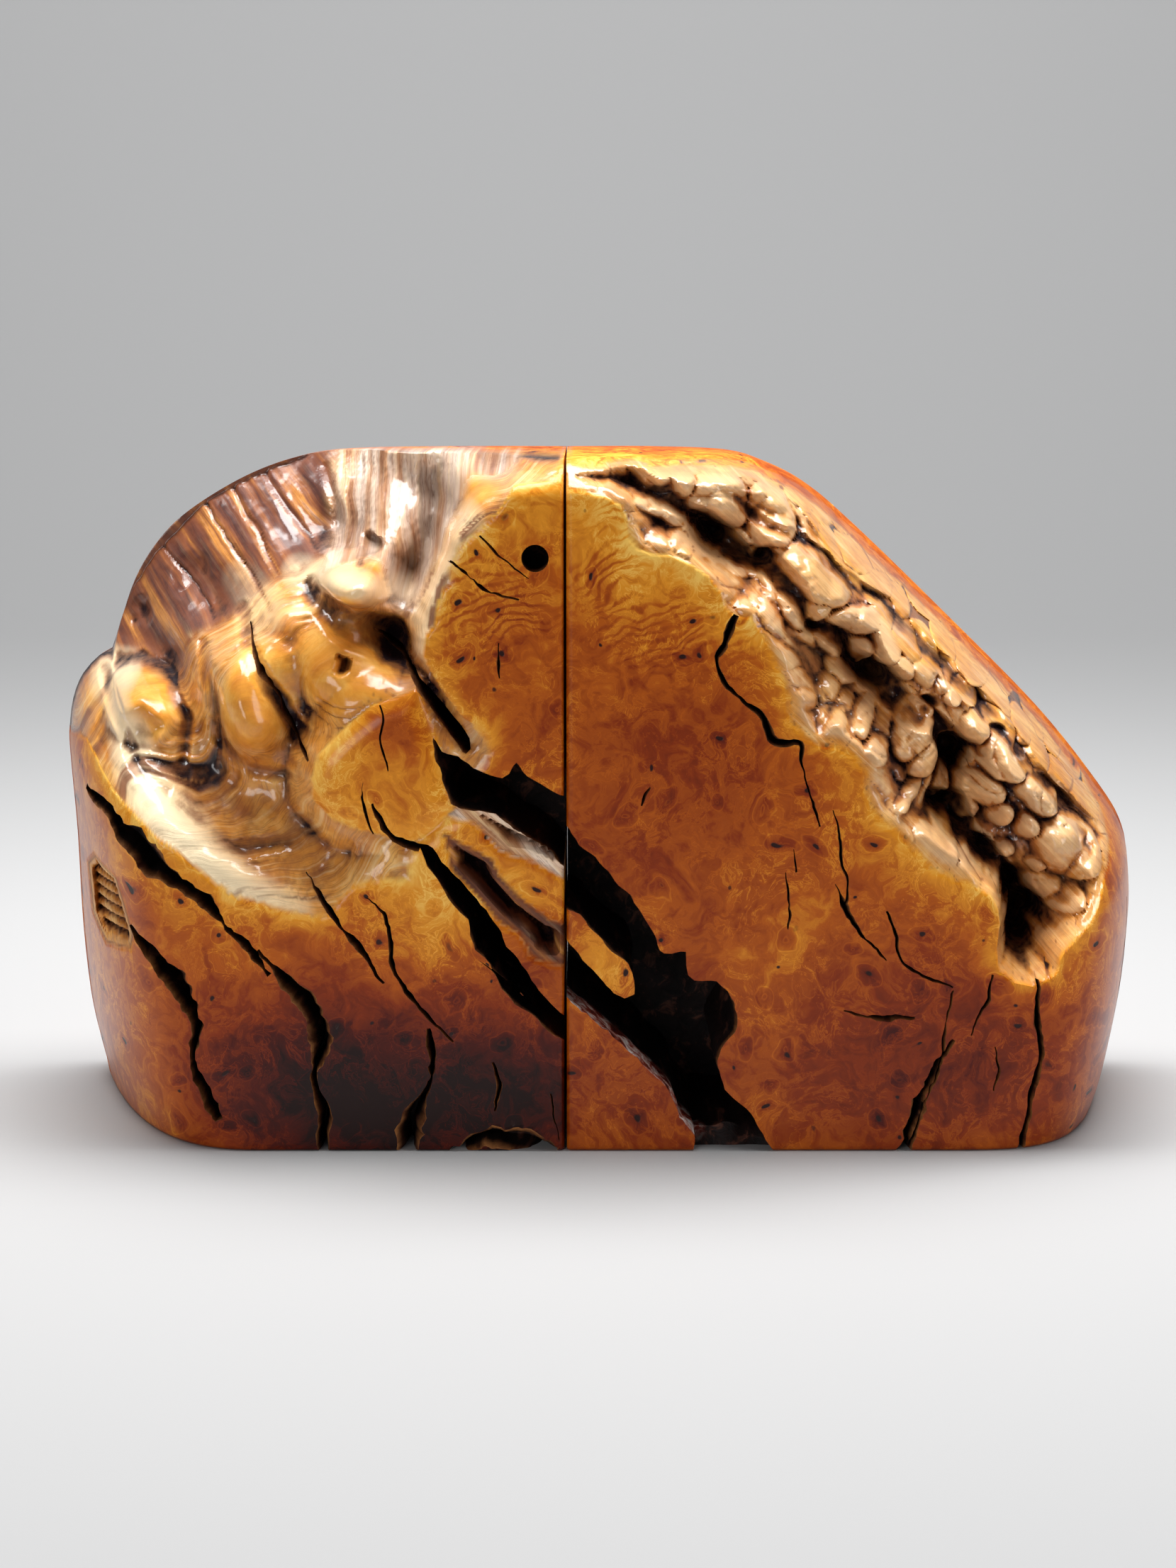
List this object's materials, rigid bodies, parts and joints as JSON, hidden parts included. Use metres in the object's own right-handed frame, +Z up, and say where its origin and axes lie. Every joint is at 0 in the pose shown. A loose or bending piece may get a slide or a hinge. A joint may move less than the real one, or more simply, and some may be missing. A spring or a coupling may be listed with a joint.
{
  "type": "manzanita burl bookends",
  "caption": "Pair of bookends sawn from one manzanita burl: flat sanded fronts, warty and weathered natural skin, voids and drying cracks.",
  "frame": {"origin": "middle of the foot: centre of the bounding box in X and Y, at the table surface", "axes": "+Z up, +X along the pair to the right seen from the front, the sanded front faces -Y"},
  "size_m": [0.2518, 0.08, 0.1501],
  "materials": {
    "left_wood": "gloss",
    "right_wood": "gloss"
  },
  "bodies": {
    "root": {"left_half": "left_wood", "right_half": "right_wood"}
  },
  "joints": []
}
